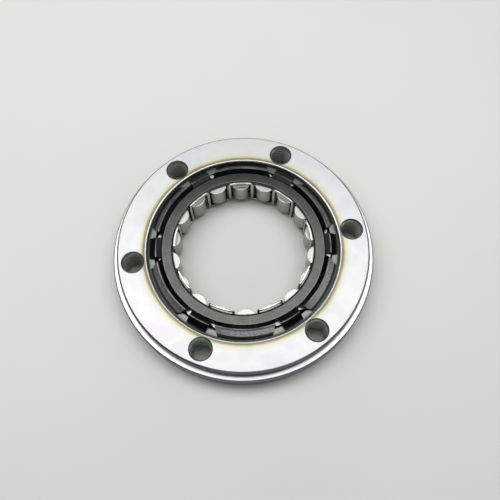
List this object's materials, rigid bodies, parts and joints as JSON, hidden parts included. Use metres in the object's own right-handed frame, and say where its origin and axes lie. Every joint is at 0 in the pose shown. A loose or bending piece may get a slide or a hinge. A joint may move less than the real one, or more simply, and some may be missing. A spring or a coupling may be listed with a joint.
{
  "type": "sprag clutch",
  "caption": "Flanged one-way clutch: stepped steel ring with tapped holes around a caged ring of tilting sprags that grip a starter hub in one direction and let it overrun in the other.",
  "frame": {"origin": "on the clutch axis, in the plane of the back face, which is the lowest plane", "axes": "+Z along the clutch axis, out of the flywheel side with the spigot; X and Y across the ring, with the first tapped hole 8.5 degrees round from +X"},
  "size_m": [0.093, 0.093, 0.0134],
  "materials": {
    "housing_steel": "ground and turned hardened steel",
    "black_cage_steel": "blackened spring steel sheet, satin",
    "phosphated_cage_steel": "grey phosphated pressed steel, fine grain",
    "spring_steel": "bright spring steel strip",
    "sprag_steel": "tumbled bearing steel, semi-bright"
  },
  "bodies": {
    "housing": {"outer_housing": "housing_steel"},
    "outer_cage": {"outer_cage": "black_cage_steel"},
    "inner_cage": {"inner_cage": "phosphated_cage_steel", "meander_spring": "spring_steel"},
    "sprag_01": {"sprag_01": "sprag_steel"},
    "sprag_02": {"sprag_02": "sprag_steel"},
    "sprag_03": {"sprag_03": "sprag_steel"},
    "sprag_04": {"sprag_04": "sprag_steel"},
    "sprag_05": {"sprag_05": "sprag_steel"},
    "sprag_06": {"sprag_06": "sprag_steel"},
    "sprag_07": {"sprag_07": "sprag_steel"},
    "sprag_08": {"sprag_08": "sprag_steel"},
    "sprag_09": {"sprag_09": "sprag_steel"},
    "sprag_10": {"sprag_10": "sprag_steel"},
    "sprag_11": {"sprag_11": "sprag_steel"},
    "sprag_12": {"sprag_12": "sprag_steel"},
    "sprag_13": {"sprag_13": "sprag_steel"},
    "sprag_14": {"sprag_14": "sprag_steel"},
    "sprag_15": {"sprag_15": "sprag_steel"},
    "sprag_16": {"sprag_16": "sprag_steel"},
    "sprag_17": {"sprag_17": "sprag_steel"},
    "sprag_18": {"sprag_18": "sprag_steel"}
  },
  "joints": [
    {"name": "cage_turn", "type": "hinge", "parent": "housing", "child": "outer_cage", "pos_m": [0, 0, 0], "axis": [0, 0, 1], "continuous": true},
    {"name": "sprag_01_tilt", "type": "hinge", "parent": "outer_cage", "child": "sprag_01", "pos_m": [0.02645, 0.00634, 0], "axis": [0, 0, 1], "range_deg": [0, 15], "stiffness_Nm_per_rad": 0.001},
    {"name": "sprag_02_tilt", "type": "hinge", "parent": "outer_cage", "child": "sprag_02", "pos_m": [0.02269, 0.01501, 0], "axis": [0, 0, 1], "range_deg": [0, 15], "stiffness_Nm_per_rad": 0.001},
    {"name": "sprag_03_tilt", "type": "hinge", "parent": "outer_cage", "child": "sprag_03", "pos_m": [0.01618, 0.02186, 0], "axis": [0, 0, 1], "range_deg": [0, 15], "stiffness_Nm_per_rad": 0.001},
    {"name": "sprag_04_tilt", "type": "hinge", "parent": "outer_cage", "child": "sprag_04", "pos_m": [0.00773, 0.02608, 0], "axis": [0, 0, 1], "range_deg": [0, 15], "stiffness_Nm_per_rad": 0.001},
    {"name": "sprag_05_tilt", "type": "hinge", "parent": "outer_cage", "child": "sprag_05", "pos_m": [-0.00165, 0.02715, 0], "axis": [0, 0, 1], "range_deg": [0, 15], "stiffness_Nm_per_rad": 0.001},
    {"name": "sprag_06_tilt", "type": "hinge", "parent": "outer_cage", "child": "sprag_06", "pos_m": [-0.01084, 0.02495, 0], "axis": [0, 0, 1], "range_deg": [0, 15], "stiffness_Nm_per_rad": 0.001},
    {"name": "sprag_07_tilt", "type": "hinge", "parent": "outer_cage", "child": "sprag_07", "pos_m": [-0.01872, 0.01973, 0], "axis": [0, 0, 1], "range_deg": [0, 15], "stiffness_Nm_per_rad": 0.001},
    {"name": "sprag_08_tilt", "type": "hinge", "parent": "outer_cage", "child": "sprag_08", "pos_m": [-0.02434, 0.01214, 0], "axis": [0, 0, 1], "range_deg": [0, 15], "stiffness_Nm_per_rad": 0.001},
    {"name": "sprag_09_tilt", "type": "hinge", "parent": "outer_cage", "child": "sprag_09", "pos_m": [-0.02702, 0.00309, 0], "axis": [0, 0, 1], "range_deg": [0, 15], "stiffness_Nm_per_rad": 0.001},
    {"name": "sprag_10_tilt", "type": "hinge", "parent": "outer_cage", "child": "sprag_10", "pos_m": [-0.02645, -0.00634, 0], "axis": [0, 0, 1], "range_deg": [0, 15], "stiffness_Nm_per_rad": 0.001},
    {"name": "sprag_11_tilt", "type": "hinge", "parent": "outer_cage", "child": "sprag_11", "pos_m": [-0.02269, -0.01501, 0], "axis": [0, 0, 1], "range_deg": [0, 15], "stiffness_Nm_per_rad": 0.001},
    {"name": "sprag_12_tilt", "type": "hinge", "parent": "outer_cage", "child": "sprag_12", "pos_m": [-0.01618, -0.02186, 0], "axis": [0, 0, 1], "range_deg": [0, 15], "stiffness_Nm_per_rad": 0.001},
    {"name": "sprag_13_tilt", "type": "hinge", "parent": "outer_cage", "child": "sprag_13", "pos_m": [-0.00773, -0.02608, 0], "axis": [0, 0, 1], "range_deg": [0, 15], "stiffness_Nm_per_rad": 0.001},
    {"name": "sprag_14_tilt", "type": "hinge", "parent": "outer_cage", "child": "sprag_14", "pos_m": [0.00165, -0.02715, 0], "axis": [0, 0, 1], "range_deg": [0, 15], "stiffness_Nm_per_rad": 0.001},
    {"name": "sprag_15_tilt", "type": "hinge", "parent": "outer_cage", "child": "sprag_15", "pos_m": [0.01084, -0.02495, 0], "axis": [0, 0, 1], "range_deg": [0, 15], "stiffness_Nm_per_rad": 0.001},
    {"name": "sprag_16_tilt", "type": "hinge", "parent": "outer_cage", "child": "sprag_16", "pos_m": [0.01872, -0.01973, 0], "axis": [0, 0, 1], "range_deg": [0, 15], "stiffness_Nm_per_rad": 0.001},
    {"name": "sprag_17_tilt", "type": "hinge", "parent": "outer_cage", "child": "sprag_17", "pos_m": [0.02434, -0.01214, 0], "axis": [0, 0, 1], "range_deg": [0, 15], "stiffness_Nm_per_rad": 0.001},
    {"name": "sprag_18_tilt", "type": "hinge", "parent": "outer_cage", "child": "sprag_18", "pos_m": [0.02702, -0.00309, 0], "axis": [0, 0, 1], "range_deg": [0, 15], "stiffness_Nm_per_rad": 0.001},
    {"name": "inner_cage_shift", "type": "hinge", "parent": "outer_cage", "child": "inner_cage", "pos_m": [0, 0, 0], "axis": [0, 0, 1], "range_deg": [-1.2, 0]}
  ],
  "couplings": [
    {"joint": "sprag_02_tilt", "follows": "sprag_01_tilt", "ratio": 1},
    {"joint": "sprag_03_tilt", "follows": "sprag_01_tilt", "ratio": 1},
    {"joint": "sprag_04_tilt", "follows": "sprag_01_tilt", "ratio": 1},
    {"joint": "sprag_05_tilt", "follows": "sprag_01_tilt", "ratio": 1},
    {"joint": "sprag_06_tilt", "follows": "sprag_01_tilt", "ratio": 1},
    {"joint": "sprag_07_tilt", "follows": "sprag_01_tilt", "ratio": 1},
    {"joint": "sprag_08_tilt", "follows": "sprag_01_tilt", "ratio": 1},
    {"joint": "sprag_09_tilt", "follows": "sprag_01_tilt", "ratio": 1},
    {"joint": "sprag_10_tilt", "follows": "sprag_01_tilt", "ratio": 1},
    {"joint": "sprag_11_tilt", "follows": "sprag_01_tilt", "ratio": 1},
    {"joint": "sprag_12_tilt", "follows": "sprag_01_tilt", "ratio": 1},
    {"joint": "sprag_13_tilt", "follows": "sprag_01_tilt", "ratio": 1},
    {"joint": "sprag_14_tilt", "follows": "sprag_01_tilt", "ratio": 1},
    {"joint": "sprag_15_tilt", "follows": "sprag_01_tilt", "ratio": 1},
    {"joint": "sprag_16_tilt", "follows": "sprag_01_tilt", "ratio": 1},
    {"joint": "sprag_17_tilt", "follows": "sprag_01_tilt", "ratio": 1},
    {"joint": "sprag_18_tilt", "follows": "sprag_01_tilt", "ratio": 1},
    {"joint": "inner_cage_shift", "follows": "sprag_01_tilt", "ratio": -0.08}
  ]
}
